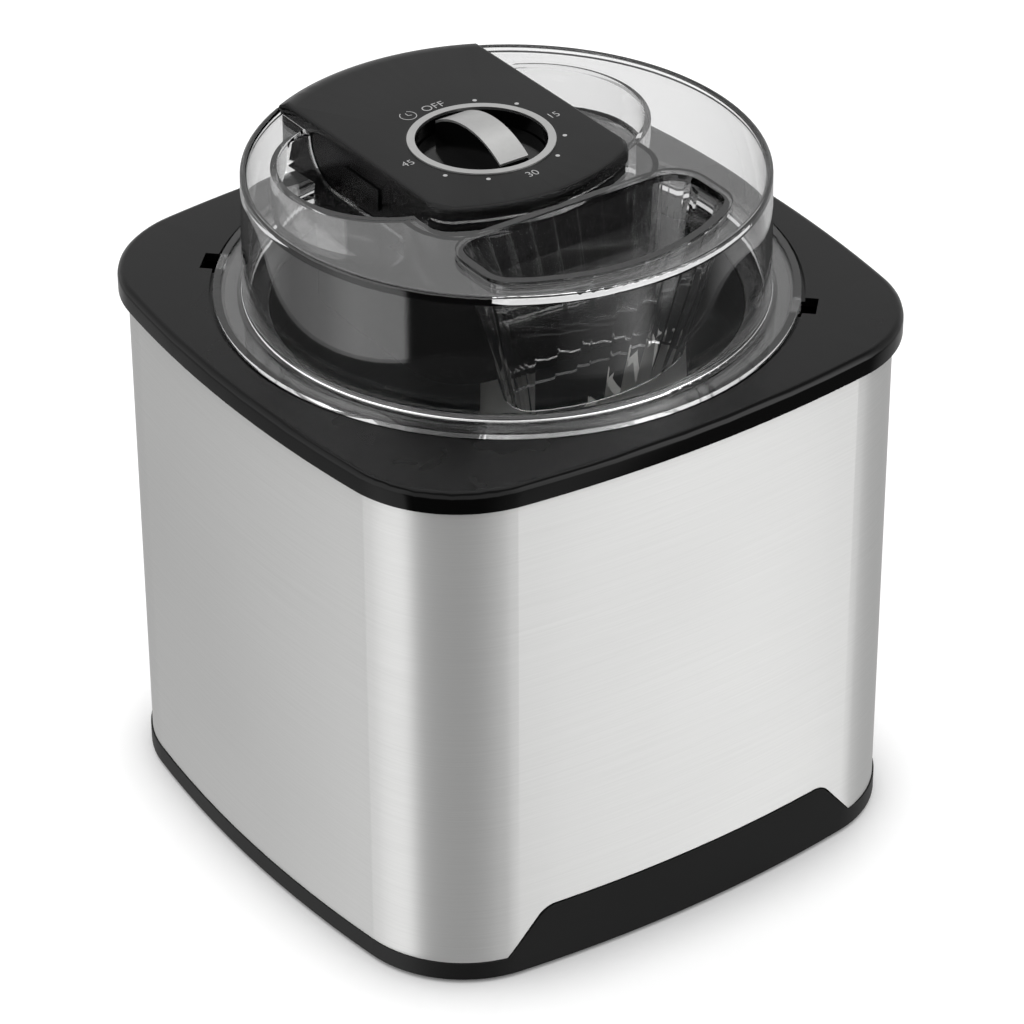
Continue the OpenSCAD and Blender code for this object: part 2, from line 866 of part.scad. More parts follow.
module skirt_plan(grow) {
  r = skirt_corner_r;
  low_y = skirt_front + r;
  high_y = skirt_rear - r;
  x = skirt_half - r;
  union() {
    translate([-x, skirt_front - grow]) square([2 * x, skirt_rear - skirt_front + 2 * grow]);
    translate([-skirt_half - grow, low_y]) square([2 * (skirt_half + grow), high_y - low_y]);
    for (s = [-1, 1], y = [low_y, high_y]) translate([s * x, y]) circle(r = r + grow);
  }
}

// Opening in the lid that the motor unit stands in: it runs out through
// the rear of the wall, and is wider above the deck, round the top plate
module aperture() {
  through_r = lid_foot_r + 5;
  inner = unit_lap - lift_gap;
  translate([0, 0, unit_split])
    linear_extrude(unit_top - unit_split) unit_plan(inner, through_r);
  translate([0, 0, deck_top])
    linear_extrude(unit_rise) unit_plan(-lift_gap, through_r);
  translate([inner - unit_half, skirt_rear - skirt_corner_r, unit_base_z - lift_gap])
    cube([2 * (unit_half - inner), skirt_corner_r + 1, unit_t + 1]);
}

module lid_wall() {
  rotate_extrude()
  difference() {
    union() {
      polygon([
        [lid_foot_r - lid_t, recess_z],
        [lid_foot_r, recess_z],
        [lid_r, rim_top - lid_t / 2],
        [lid_r - lid_t, rim_top - lid_t / 2]
      ]);
      translate([lid_r - lid_t / 2, rim_top - lid_t / 2]) circle(r = lid_t / 2, $fn = 48);
      translate([lid_foot_r - 1, recess_z])
        square([flange_r - lid_foot_r + 1, flange_inner_top - recess_z]);
      translate([flange_r - flange_lip_w, recess_z])
        square([flange_lip_w, flange_top - recess_z]);
      translate([lid_foot_r - 0.3, flange_inner_top - eps]) square(foot_fillet);
    }
    translate([lid_foot_r - 0.3 + foot_fillet, flange_inner_top + foot_fillet])
      circle(r = foot_fillet, $fn = 48);
  }
}

// Catches on the flange, each a bar with a stem out to the lip
module lid_catches() {
  catch_x = lid_foot_r + foot_fillet;
  for (a = catch_angles) rotate(a) {
    translate([catch_x, -catch_w / 2, flange_inner_top - eps])
      cube([catch_l, catch_w, flange_lip_h - flange_t + eps]);
    translate([catch_x + catch_l - eps, -catch_stem_w / 2, flange_inner_top - eps])
      cube([flange_r - 1 - catch_x - catch_l, catch_stem_w, flange_lip_h - flange_t + eps]);
  }
}

// Wall, flange and deck of the lid
module lid() {
  color("#cfd6d8", 0.45)
  difference() {
    union() {
      lid_wall();
      lid_catches();
      translate([0, 0, deck_z]) cylinder(r = lid_r - lid_t + deck_lap, h = lid_t);
      for (a = notch_angles)
        rotate(a) translate([flange_r - 2, -notch_w / 2 + lug_gap, recess_z - 1])
          cube([recess_r + notch_reach - flange_r + 1, notch_w - 2 * lug_gap, recess_d + 0.6]);
    }
    pocket_hollow(pocket_under, pocket_wall);
    chute_solid(0, 0, 0);
    aperture();
  }
}

// Walls and floors of the finger pockets
module lid_pockets() {
  color("#cfd6d8", 0.45)
  difference() {
    intersection() {
      pocket_hollow(pocket_under, pocket_wall);
      translate([0, 0, pocket_under])
        cylinder(r = lid_r - lid_t / 2, h = deck_top - pocket_under);
    }
    pocket_hollow(pocket_floor, 0);
    chute_solid(0, 0, 0);
    aperture();
  }
}

// Black skirt under the deck, round the gear cup
module lid_skirt() {
  color("#1c1c1c")
  difference() {
    translate([0, 0, skirt_z]) linear_extrude(deck_z - skirt_z) skirt_plan(0);
    translate([0, 0, skirt_z - 1])
      linear_extrude(deck_z - skirt_z + 2) skirt_plan(-skirt_t);
    pocket_hollow(pocket_under, pocket_wall);
    chute_solid(0, 0, 0);
    aperture();
  }
}

// Feed chute with the lip of its mouth
module lid_chute() {
  color("#cfd6d8", 0.45)
  difference() {
    chute_solid(0, 0, 0);
    chute_solid(chute_lip_w, chute_t, 1);
  }
}

// ---- Motor unit ----

// Plan of the motor unit's top plate, drawn in by inset
module unit_plan(inset, rear_r = unit_rear_r) {
  half = unit_half - inset;
  front_y = unit_front_r - unit_front;
  arc = unit_front_arc;
  intersection() {
    union() {
      hull()
        for (i = [-4 : 4])
          let (a = unit_corner_angle * i / 4)
          translate([arc * sin(a), front_y - arc * cos(a)])
            circle(r = unit_corner_r - inset, $fn = 48);
      translate([-half, unit_corner_y]) square([2 * half, rear_r - unit_corner_y]);
    }
    circle(r = rear_r - inset, $fn = 180);
  }
}

module at_dial() {
  translate([0, dial_y, 0]) children();
}

module latch_window() {
  translate([-unit_half - 1, button_y - button_l / 2, button_z - button_h / 2])
    cube([unit_t + 4, button_l, button_h]);
}

// How far an edge, rounded over width w and height h, draws in at a drop below the top
function edge_in(w, h, drop) = drop > h ? 0 : w * (1 - sqrt(1 - pow(1 - drop / h, 2)));

// Top plate: a small rounding along its sides and front, a long one down to the lid's rim
module top_plate() {
  translate([0, 0, deck_top])
  hull()
    for (a = [0, 30, 60, 90])
      let (drop = rear_fall * (1 - sin(a)), side = edge_in(plate_round, plate_round, drop))
      linear_extrude(unit_rise - drop)
        unit_plan(side, unit_rear_r - edge_in(rear_fall_l, rear_fall, drop) + side);
}

module boss_places() {
  for (x = [-unit_boss_x, unit_boss_x], y = [unit_boss_front, unit_boss_rear])
    translate([x, y, 0]) children();
}

module unit_shell() {
  cavity_top = unit_top - unit_t - fit_gap;
  color("#303030")
  difference() {
    union() {
      difference() {
        union() {
          top_plate();
          translate([0, 0, unit_split + part_gap])
            linear_extrude(deck_top - unit_split) unit_plan(unit_lap);
        }
        translate([0, 0, unit_split - 1])
          linear_extrude(cavity_top - unit_split + 1) unit_plan(unit_lap + unit_t);
      }
      at_dial()
        translate([0, 0, well_floor - well_t])
          cylinder(r = well_r + well_t, h = cavity_top - well_floor + well_t + eps);
      boss_places()
        translate([0, 0, unit_split]) cylinder(r = unit_boss_r, h = cavity_top - unit_split + eps);
    }
    at_dial() {
      translate([0, 0, well_floor]) cylinder(r = well_r, h = well_d + 1);
      translate([0, 0, unit_top - ring_h / 2]) cylinder(r = ring_r, h = ring_h);
      translate([0, 0, well_floor - well_t - 1])
        cylinder(r = timer_shaft_r + part_gap, h = well_t + 2);
    }
    latch_window();
    mirror([1, 0, 0]) latch_window();
    boss_places()
      translate([0, 0, unit_split - 1]) cylinder(r = screw_r, h = unit_screw_l);
    gland_place() cylinder(r = gland_neck_r, h = 3 * unit_t, center = true);
  }
}

// The gland's frame: its Z axis points out of the unit's rear
module gland_place() {
  translate([0, gland_y, gland_z]) rotate([-90, 0, 0]) children();
}

module cord_gland() {
  color("#1c1c1c")
  gland_place()
  difference() {
    union() {
      translate([0, 0, fit_gap]) cylinder(r1 = gland_r, r2 = gland_neck_r, h = gland_flange_t);
      translate([0, 0, fit_gap - gland_neck_l]) cylinder(r = gland_neck_r - eps, h = gland_neck_l);
      translate([0, 0, -unit_t - part_gap - gland_flange_t])
        cylinder(r = gland_r, h = gland_flange_t);
    }
    translate([0, 0, -gland_neck_l - 1])
      cylinder(r = gland_bore_r, h = gland_neck_l + gland_flange_t + 3);
  }
}

module terminal_block() {
  color("#d8d4c4")
  translate([-block_size[0] / 2, block_y, unit_split + part_gap])
  difference() {
    cube(block_size);
    for (x = [3 : block_pitch : block_size[0] - 3])
      translate([x, block_size[1] / 2, block_size[2] / 2])
        cylinder(r = block_hole_r, h = block_size[2]);
  }
}

module gearpost_places() {
  translate([0, gearcup_y, 0])
    for (a = gearpost_angles)
      translate([gearpost_at * cos(a), gearpost_at * sin(a), 0]) children();
}

module pin_places() {
  for (p = [first_at, second_at]) translate([p[0], p[1], 0]) children();
}

// Floor of the motor unit, with the gear cup hanging from it
module unit_base() {
  latch_slot = 1 + unit_half - latch_guide_face + latch_guide_t + part_gap;
  color("#262626")
  difference() {
    union() {
      translate([0, 0, unit_base_z])
        linear_extrude(unit_t) unit_plan(unit_lap, lid_r - lid_t + unit_lap);
      translate([0, gearcup_y, gearcup_z]) cylinder(r = gearcup_r, h = unit_base_z - gearcup_z + eps);
    }
    difference() {
      translate([0, gearcup_y, gearcup_floor])
        cylinder(r = gearcup_inner, h = unit_split - gearcup_floor + 1);
      gearpost_places()
        translate([0, 0, gearcup_floor - 1])
          cylinder(r = gearpost_r, h = plate_z - gearcup_floor + 1);
      pin_places()
        translate([0, 0, gearcup_floor - 1])
          cylinder(r = pin_boss_r, h = low_z - gearcup_floor + 1 - part_gap);
    }
    translate([0, 0, gearcup_z - 1]) cylinder(r = bush_r, h = low_z - gearcup_z + 1);
    pin_places()
      translate([0, 0, gearcup_floor - 1]) cylinder(r = gearpin_r, h = low_z - gearcup_floor + 2);
    gearpost_places()
      translate([0, 0, gearcup_floor + 1])
        cylinder(r = gearpost_screw_r, h = plate_z - gearcup_floor);
    boss_places()
      translate([0, 0, unit_base_z - 1]) cylinder(r = screw_r + screw_gap, h = unit_t + 2);
    for (s = [0, 1]) mirror([s, 0, 0])
      translate([-unit_half - 1, button_y - tooth_l / 2 - part_gap, unit_base_z - 1])
        cube([latch_slot, tooth_l + 2 * part_gap, unit_t + 2]);
  }
}

module unit_screws() {
  color("#8a8a8a")
  boss_places() translate([0, 0, unit_base_z]) screw(unit_screw_l);
}

module dial_ring() {
  color("#c9cacb")
  at_dial() tube(unit_top - ring_h / 2, unit_top + ring_h / 2, ring_r, well_r);
}

module timer_module() {
  floor_z = unit_split + part_gap;
  color("#c8b98a")
  at_dial()
  difference() {
    translate([0, 0, floor_z]) cylinder(r = timer_r, h = well_floor - well_t - floor_z);
    translate([0, 0, floor_z + timer_floor_t])
      cylinder(r = timer_shaft_r + running_gap, h = unit_top - floor_z);
  }
}

module timer_shaft() {
  z0 = unit_split + timer_floor_t + 2 * part_gap;
  color("#b0b0b0")
  at_dial()
    translate([0, 0, z0]) cylinder(r = timer_shaft_r, h = well_floor + timer_shaft_in - z0);
}

module grip_profile(r_out, z_low) {
  intersection() {
    translate([0, grip_end_z + grip_rise - grip_r]) circle(r = r_out, $fn = 180);
    translate([-grip_len / 2, z_low]) square([grip_len, r_out]);
  }
}

module grip_solid(r_out, z_low, width) {
  rotate([90, 0, 90]) linear_extrude(width, center = true) grip_profile(r_out, z_low);
}

module knob() {
  disc_z = well_floor + part_gap;
  color("#1d1d1d")
  at_dial()
  difference() {
    union() {
      translate([0, 0, disc_z]) cylinder(r = knob_r, h = knob_disc_t);
      grip_solid(grip_r - strip_t, disc_z, grip_w);
    }
    translate([0, 0, disc_z - 1])
      cylinder(r = timer_shaft_r, h = timer_shaft_in - part_gap + 1);
  }
}

module knob_strip() {
  color("#bfc0c1")
  at_dial()
  difference() {
    grip_solid(grip_r, grip_end_z - strip_t, grip_w);
    translate([-grip_w, 0, grip_end_z + grip_rise - grip_r])
      rotate([0, 90, 0]) cylinder(r = grip_r - strip_t, h = 2 * grip_w, $fn = 180);
  }
}

// ---- Latches ----

// Left latch, drawn pressed in: button, guide plate and tooth
module latch_solid() {
  face = latch_guide_face;
  tooth_z = unit_base_z + part_gap / 3;
  guide_over = 1.5;
  union() {
    translate([-latch_face - button_proud, button_y - button_l / 2 + button_gap,
      button_z - button_h / 2 + button_gap])
      cube([latch_face + button_proud - face + latch_guide_t / 3, button_l - 2 * button_gap,
        button_h - 2 * button_gap]);
    translate([-face, button_y - button_l / 2 - guide_over, unit_split + 2 * part_gap])
      cube([latch_guide_t, button_l + 2 * guide_over,
        button_z + button_h / 2 + guide_over - 2 * part_gap - unit_split]);
    translate([-face, button_y - tooth_l / 2, tooth_z])
      cube([latch_guide_t, tooth_l, 2 * unit_t]);
    translate([-latch_face - latch_bite, button_y - tooth_l / 2, tooth_z])
      cube([latch_face + latch_bite - face + latch_guide_t / 3, tooth_l,
        unit_t - part_gap]);
  }
}

module latch_left() {
  color("#242424") latch_solid();
}

module latch_right() {
  color("#242424") mirror([1, 0, 0]) latch_solid();
}

// ---- Motor and gears ----

module motor() {
  color("#9a9ea2")
  difference() {
    translate([rotor_at[0], rotor_at[1], motor_z]) cylinder(r = motor_r, h = motor_top - motor_z);
    translate([rotor_at[0], rotor_at[1], motor_z - 1])
      cylinder(r = gearpin_r + running_gap, h = rotor_in + 3);
  }
}

module gear_plate() {
  color("#aeb1b3")
  difference() {
    translate([0, gearcup_y, plate_z]) cylinder(r = gearcup_inner - fit_gap, h = plate_t);
    pin_places() translate([0, 0, plate_z - 1]) cylinder(r = gearpin_r, h = plate_t + 2);
    translate([rotor_at[0], rotor_at[1], plate_z - 1]) cylinder(r = gearpin_r + 1, h = plate_t + 2);
    gearpost_places()
      translate([0, 0, plate_z - 1]) cylinder(r = gearpost_screw_r + screw_gap, h = plate_t + 2);
  }
}

module gear_pins() {
  color("#c0c2c4")
  pin_places()
    translate([0, 0, gearcup_floor - 1])
      cylinder(r = gearpin_r, h = motor_z - gearcup_floor + 1);
}

module output_bush() {
  color("#b08d4a")
  difference() {
    union() {
      translate([0, 0, gearcup_z]) cylinder(r = bush_r, h = low_z - gearcup_z - part_gap);
      translate([0, 0, gearcup_z - bush_collar_t]) cylinder(r = bush_r + 2, h = bush_collar_t);
    }
    translate([0, 0, gearcup_z - 2])
      cylinder(r = shaft_r + running_gap, h = low_z - gearcup_z + 3);
  }
}

function involute(r, base) = let (a = acos(base / r)) tan(a) * 180 / PI - a;

// Half of the angle that a tooth takes at radius r
function tooth_half(r, pitch, base, teeth) =
  90 / teeth - gear_thin / pitch * 180 / PI + involute(pitch, base) - involute(r, base);

function polar(r, a) = [r * cos(a), r * sin(a)];

module gear_profile(teeth, phase) {
  pitch = gear_m * teeth / 2;
  base = pitch * cos(pressure);
  tip = pitch + gear_m;
  root = pitch - 1.25 * gear_m;
  low = max(base, root);
  radii = [low, low + (tip - low) * 0.35, low + (tip - low) * 0.7, tip];
  halves = [for (r = radii) tooth_half(r, pitch, base, teeth)];
  polygon([
    for (i = [0 : teeth - 1])
      let (mid = phase + i * 360 / teeth)
      each concat(
        [polar(root, mid - halves[0])],
        [for (j = [0 : 3]) polar(radii[j], mid - halves[j])],
        [for (j = [3 : -1 : 0]) polar(radii[j], mid + halves[j])],
        [polar(root, mid + halves[0])]
      )
  ]);
}

module gear(teeth, phase, z0, face) {
  translate([0, 0, z0]) linear_extrude(face) gear_profile(teeth, phase);
}

module compound_gear(at, wheel_z, wheel_phase, small_z, small_h, small_phase) {
  translate([at[0], at[1], 0])
  difference() {
    union() {
      gear(wheel_teeth, wheel_phase, wheel_z, wheel_face);
      gear(pinion_teeth, small_phase, small_z, small_h);
    }
    translate([0, 0, gearcup_z])
      cylinder(r = gearpin_r + running_gap, h = unit_top - gearcup_z);
  }
}

module gear_first() {
  color("#ece8dc")
  compound_gear(first_at, high_z, phase_first_wheel, mid_z, high_z - mid_z + eps,
    phase_first_pinion);
}

module gear_second() {
  color("#ece8dc")
  compound_gear(second_at, mid_z, phase_second_wheel, low_z, mid_z - low_z + eps,
    phase_second_pinion);
}

module motor_pinion() {
  color("#b9bbbd")
  translate([rotor_at[0], rotor_at[1], 0]) {
    gear(pinion_teeth, phase_rotor, high_z, wheel_face);
    translate([0, 0, high_z]) cylinder(r = gearpin_r, h = motor_z + rotor_in - high_z);
  }
}

module output_gear() {
  color("#ece8dc")
  difference() {
    gear(output_teeth, phase_output, low_z, output_face);
    translate([0, 0, low_z - 1]) cylinder(r = shaft_r - shaft_step, h = output_face + 2);
  }
}

module output_shaft() {
  drive_top = gearcup_z - 3;
  drive_z = hub_top - socket_d + 2;
  color("#c0c2c4")
  union() {
    translate([0, 0, drive_top]) cylinder(r = shaft_r, h = low_z - drive_top);
    translate([0, 0, low_z]) cylinder(r = shaft_r - shaft_step, h = output_face);
    translate([0, 0, drive_z]) linear_extrude(drive_top - drive_z + eps) hexagon(hex_w);
  }
}

base();
feet();
base_screws();
steel_sleeve();
top_cover();
liner();
liner_screws();
bowl_shell();
bowl_cup();
bowl_coolant();
bowl_rim();
paddle();
lid();
lid_chute();
lid_pockets();
lid_skirt();
unit_shell();
unit_base();
unit_screws();
dial_ring();
timer_module();
motor();
gear_plate();
gear_pins();
output_bush();
terminal_block();
cord_gland();
knob();
knob_strip();
timer_shaft();
latch_left();
latch_right();
motor_pinion();
gear_first();
gear_second();
output_gear();
output_shaft();
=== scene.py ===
"""Ice cream maker: finishes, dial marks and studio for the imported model.

Metres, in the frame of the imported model: +Z up, the feed chute faces -Y.
"""
import math

import bmesh
import bpy
from mathutils import Matrix, Vector


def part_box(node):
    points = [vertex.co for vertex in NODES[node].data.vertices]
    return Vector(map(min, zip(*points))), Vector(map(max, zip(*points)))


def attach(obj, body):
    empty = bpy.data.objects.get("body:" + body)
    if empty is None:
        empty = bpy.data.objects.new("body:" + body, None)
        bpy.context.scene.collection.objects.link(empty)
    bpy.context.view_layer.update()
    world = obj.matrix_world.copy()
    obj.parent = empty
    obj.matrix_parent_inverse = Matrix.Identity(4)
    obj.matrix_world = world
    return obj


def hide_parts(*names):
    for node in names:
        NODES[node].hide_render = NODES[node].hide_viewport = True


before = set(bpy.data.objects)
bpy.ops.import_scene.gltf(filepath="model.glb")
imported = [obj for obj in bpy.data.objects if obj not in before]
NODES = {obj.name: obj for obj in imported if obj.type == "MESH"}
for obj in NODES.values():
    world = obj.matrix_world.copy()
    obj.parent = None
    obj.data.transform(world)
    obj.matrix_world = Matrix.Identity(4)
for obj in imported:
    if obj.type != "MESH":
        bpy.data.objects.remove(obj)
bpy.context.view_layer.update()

SCENE = bpy.context.scene
MM = 0.001


# ---- Colours, nodes and objects ----

def linear(code):
    """Turns an sRGB hex value such as "#c6c6c6" into linear RGBA."""
    def channel(value):
        return value / 12.92 if value <= 0.04045 else ((value + 0.055) / 1.055) ** 2.4
    return tuple(channel(int(code[at:at + 2], 16) / 255) for at in (1, 3, 5)) + (1.0,)


def grey(level):
    """A grey of a given strength, which may be above 1, as linear RGBA."""
    return (level,) * 3 + (1.0,)


def add(tree, kind, inputs=None, **settings):
    """Adds a node. An input given as (node, output) is linked, any other is set."""
    node = tree.nodes.new(kind)
    for name, value in settings.items():
        setattr(node, name, value)
    for socket, value in (inputs or {}).items():
        if isinstance(value, tuple) and isinstance(value[0], bpy.types.Node):
            tree.links.new(value[0].outputs[value[1]], node.inputs[socket])
        else:
            node.inputs[socket].default_value = value
    return node


def new_material(name):
    """A material with an empty node tree."""
    material = bpy.data.materials.new(name)
    material.use_nodes = True
    material.node_tree.nodes.clear()
    return material, material.node_tree


def in_scene(name, data):
    """An object made of a mesh, a curve, a lamp or a camera, in the scene."""
    made = bpy.data.objects.new(name, data)
    SCENE.collection.objects.link(made)
    return made


def as_mesh(work, name):
    """Turns what was built in bmesh into a mesh."""
    mesh = bpy.data.meshes.new(name)
    work.to_mesh(mesh)
    work.free()
    return mesh


# ---- Plastics and rubbers ----

PLASTIC_IOR = 1.53
# Faint clouds stay where the melt flowed
FLOW_CLOUD = 36 * MM
# Nearly all of the flow pattern lies between these values
FLOW_LOW, FLOW_HIGH = 0.3, 0.7


def moulded_plastic(name, colour, shade, roughness, sheen_gap, grain, depth, specular=0.5):
    """Moulded plastic or rubber. colour and shade are the two tones that the
    flow leaves, and sheen_gap is how far it makes the roughness wander. grain
    is the width of the mould's texture in mm and depth its height in mm. A
    real grain is about 0.1 mm wide, too fine to show, so it is drawn coarser."""
    material, tree = new_material(name)
    place = add(tree, "ShaderNodeTexCoord")
    flow = add(tree, "ShaderNodeTexNoise",
               {"Vector": (place, "Object"), "Scale": 1 / FLOW_CLOUD, "Detail": 3.0})
    tone = add(tree, "ShaderNodeMix",
               {0: (flow, "Fac"), 6: linear(colour), 7: linear(shade)}, data_type="RGBA")
    texture = add(tree, "ShaderNodeTexNoise",
                  {"Vector": (place, "Object"), "Scale": 1 / (grain * MM), "Detail": 2.0})
    bump = add(tree, "ShaderNodeBump",
               {"Strength": 1.0, "Distance": depth * MM, "Height": (texture, "Fac")})
    gloss = add(tree, "ShaderNodeMapRange",
                {"Value": (flow, "Fac"), "From Min": FLOW_LOW, "From Max": FLOW_HIGH,
                 "To Min": roughness - sheen_gap, "To Max": roughness + sheen_gap})
    shader = add(tree, "ShaderNodeBsdfPrincipled",
                 {"Base Color": (tone, 2), "Roughness": (gloss, "Result"), "Metallic": 0.0,
                  "IOR": PLASTIC_IOR, "Specular IOR Level": specular,
                  "Normal": (bump, "Normal")})
    add(tree, "ShaderNodeOutputMaterial", {"Surface": (shader, "BSDF")})
    return material


# The polish gives way to the texture between these upward parts of a face's
# normal, which are slopes of about 22 and 6 degrees
POLISH_ENDS, TEXTURE_FULL = 0.93, 0.995
POLISHED_COLOUR, POLISHED_ROUGHNESS = "#080808", 0.12
TOP_SHEEN_GAP = 0.03
# As with the other plastics, a texture drawn coarser than the real one
TOP_GRAIN, TOP_GRAIN_DEPTH = 1.4 * MM, 0.006 * MM


def two_finish_abs(name, colour, roughness):
    """Black ABS whose mould is spark-eroded on the flat top, which gives a
    soft grey sheen, and polished on its edges and sides, which mirror."""
    material, tree = new_material(name)
    place = add(tree, "ShaderNodeTexCoord")
    upward = (add(tree, "ShaderNodeSeparateXYZ", {"Vector": (place, "Normal")}), "Z")
    flat = add(tree, "ShaderNodeMapRange",
               {"Value": upward, "From Min": POLISH_ENDS, "From Max": TEXTURE_FULL},
               interpolation_type="SMOOTHSTEP")
    flow = add(tree, "ShaderNodeTexNoise",
               {"Vector": (place, "Object"), "Scale": 1 / FLOW_CLOUD, "Detail": 3.0})
    satin = add(tree, "ShaderNodeMapRange",
                {"Value": (flow, "Fac"), "From Min": FLOW_LOW, "From Max": FLOW_HIGH,
                 "To Min": roughness - TOP_SHEEN_GAP, "To Max": roughness + TOP_SHEEN_GAP})
    rough = add(tree, "ShaderNodeMix",
                {0: (flat, "Result"), 2: POLISHED_ROUGHNESS, 3: (satin, "Result")})
    tone = add(tree, "ShaderNodeMix",
               {0: (flat, "Result"), 6: linear(POLISHED_COLOUR), 7: linear(colour)},
               data_type="RGBA")
    texture = add(tree, "ShaderNodeTexNoise",
                  {"Vector": (place, "Object"), "Scale": 1 / TOP_GRAIN, "Detail": 2.0})
    relief = add(tree, "ShaderNodeMath", {0: (texture, "Fac"), 1: (flat, "Result")},
                 operation="MULTIPLY")
    bump = add(tree, "ShaderNodeBump",
               {"Strength": 1.0, "Distance": TOP_GRAIN_DEPTH, "Height": (relief, "Value")})
    shader = add(tree, "ShaderNodeBsdfPrincipled",
                 {"Base Color": (tone, 2), "Roughness": (rough, "Result"), "Metallic": 0.0,
                  "IOR": PLASTIC_IOR, "Specular IOR Level": 0.15,
                  "Normal": (bump, "Normal")})
    add(tree, "ShaderNodeOutputMaterial", {"Surface": (shader, "BSDF")})
    return material


# Black ABS of the cover: a satin flat between edges that mirror the room
COVER_ABS = two_finish_abs("cover_abs", "#0f0f0f", roughness=0.26)
# Black ABS of the unit's top plate: the same, with a duller and greyer flat
TOP_PLATE_ABS = two_finish_abs("top_plate_abs", "#161616", roughness=0.4)
# ABS from a polished mould: near black, and it mirrors the room all over
GLOSS_ABS = moulded_plastic("gloss_abs", "#090909", "#0c0c0c", roughness=0.1,
                            sheen_gap=0.02, grain=3.0, depth=0.002, specular=0.2)
# ABS with an even, dull texture, for the foot of the machine
BASE_ABS = moulded_plastic("base_abs", "#191919", "#1c1c1c", roughness=0.45,
                           sheen_gap=0.03, grain=1.4, depth=0.006, specular=0.2)
# Black polypropylene of the liner: waxy, and a little uneven
LINER_PP = moulded_plastic("liner_polypropylene", "#242424", "#2a2a2a", roughness=0.5,
                           sheen_gap=0.05, grain=1.6, depth=0.01)
# Pale grey polypropylene of the bowl's outside: the same waxy skin
SHELL_PP = moulded_plastic("shell_polypropylene", "#d5d8d9", "#cdd1d3", roughness=0.42,
                           sheen_gap=0.05, grain=1.6, depth=0.008)
# Undyed polypropylene of the paddle: a warm, waxy white
PADDLE_PP = moulded_plastic("paddle_polypropylene", "#e8e8e5", "#dfdfda", roughness=0.38,
                            sheen_gap=0.05, grain=1.4, depth=0.008)
# Moulded acetal: the greasy cream of gears
GEAR_ACETAL = moulded_plastic("gear_acetal", "#e9e4d6", "#ddd8c8", roughness=0.36,
                              sheen_gap=0.05, grain=0.8, depth=0.004)
# Pressed phenolic resin of the timer's case: a dull, mottled tan
TIMER_CASE = moulded_plastic("timer_phenolic", "#b9a878", "#a99a6c", roughness=0.5,
                             sheen_gap=0.05, grain=0.9, depth=0.008)
# Moulded nylon of the terminal block: a yellowed, satin white
TERMINAL_NYLON = moulded_plastic("terminal_nylon", "#d6d2c2", "#cac5b2", roughness=0.45,
                                 sheen_gap=0.05, grain=0.9, depth=0.006)
# Moulded rubber of the feet: matt, greyed by the dust that it picks up
FOOT_RUBBER = moulded_plastic("foot_rubber", "#262626", "#303030", roughness=0.8,
                              sheen_gap=0.08, grain=0.7, depth=0.02, specular=0.3)
# Moulded rubber of the cord's gland: matt, cleaner and blacker than the feet
GLAND_RUBBER = moulded_plastic("gland_rubber", "#191919", "#222222", roughness=0.7,
                               sheen_gap=0.08, grain=0.7, depth=0.015, specular=0.3)
# Gel sealed in the bowl's wall: an even, wet blue
COOLING_GEL = moulded_plastic("cooling_gel", "#6fa8c9", "#5f9bbf", roughness=0.2,
                              sheen_gap=0.03, grain=4.0, depth=0.01)


# ---- Metals ----

LINE_DEPTH = 0.002 * MM
# Handling leaves broad clouds, which make the roughness wander by this much
HANDLING_CLOUD = 110 * MM
METAL_SHEEN_GAP = 0.05


def metal(name, colour, shade, roughness, spacing, anisotropy=0.0):
    """Metal. colour and shade are the two tones of its grain, and spacing is
    the grain's size in mm along X, Y and Z: where the last is much the
    smallest, the grain is fine lines that run round the piece."""
    material, tree = new_material(name)
    place = add(tree, "ShaderNodeTexCoord")
    stretched = add(tree, "ShaderNodeMapping",
                    {"Vector": (place, "Object"),
                     "Scale": tuple(1 / (size * MM) for size in spacing)})
    grain = add(tree, "ShaderNodeTexNoise",
                {"Vector": (stretched, "Vector"), "Scale": 1.0, "Detail": 4.0,
                 "Roughness": 0.65})
    cloud = add(tree, "ShaderNodeTexNoise",
                {"Vector": (place, "Object"), "Scale": 1 / HANDLING_CLOUD, "Detail": 2.0})
    tone = add(tree, "ShaderNodeMix",
               {0: (grain, "Fac"), 6: linear(colour), 7: linear(shade)}, data_type="RGBA")
    # the sum of the two patterns lies about 1
    mixed = add(tree, "ShaderNodeMath", {0: (grain, "Fac"), 1: (cloud, "Fac")},
                operation="ADD")
    rough = add(tree, "ShaderNodeMapRange",
                {"Value": (mixed, "Value"), "From Min": 0.7, "From Max": 1.3,
                 "To Min": roughness - METAL_SHEEN_GAP,
                 "To Max": roughness + METAL_SHEEN_GAP})
    bump = add(tree, "ShaderNodeBump",
               {"Strength": 1.0, "Distance": LINE_DEPTH, "Height": (grain, "Fac")})
    # highlights spread up and down, across lines that run round the Z axis
    tangent = add(tree, "ShaderNodeTangent", direction_type="RADIAL", axis="Z")
    shader = add(tree, "ShaderNodeBsdfPrincipled",
                 {"Base Color": (tone, 2), "Metallic": 1.0, "Roughness": (rough, "Result"),
                  "Anisotropic": anisotropy, "Anisotropic Rotation": 0.25,
                  "Normal": (bump, "Normal"), "Tangent": (tangent, "Tangent")})
    add(tree, "ShaderNodeOutputMaterial", {"Surface": (shader, "BSDF")})
    return material


# Stainless sheet brushed along its width: lines that blur what it mirrors
# into soft upright bands. Real scratches are about 0.1 mm wide, too fine to
# see from here, so they are drawn about 0.5 mm wide.
BRUSHED_STAINLESS = metal("brushed_stainless", "#d6d6d5", "#cbcbca", roughness=0.47,
                          spacing=(45, 45, 0.5), anisotropy=0.97)
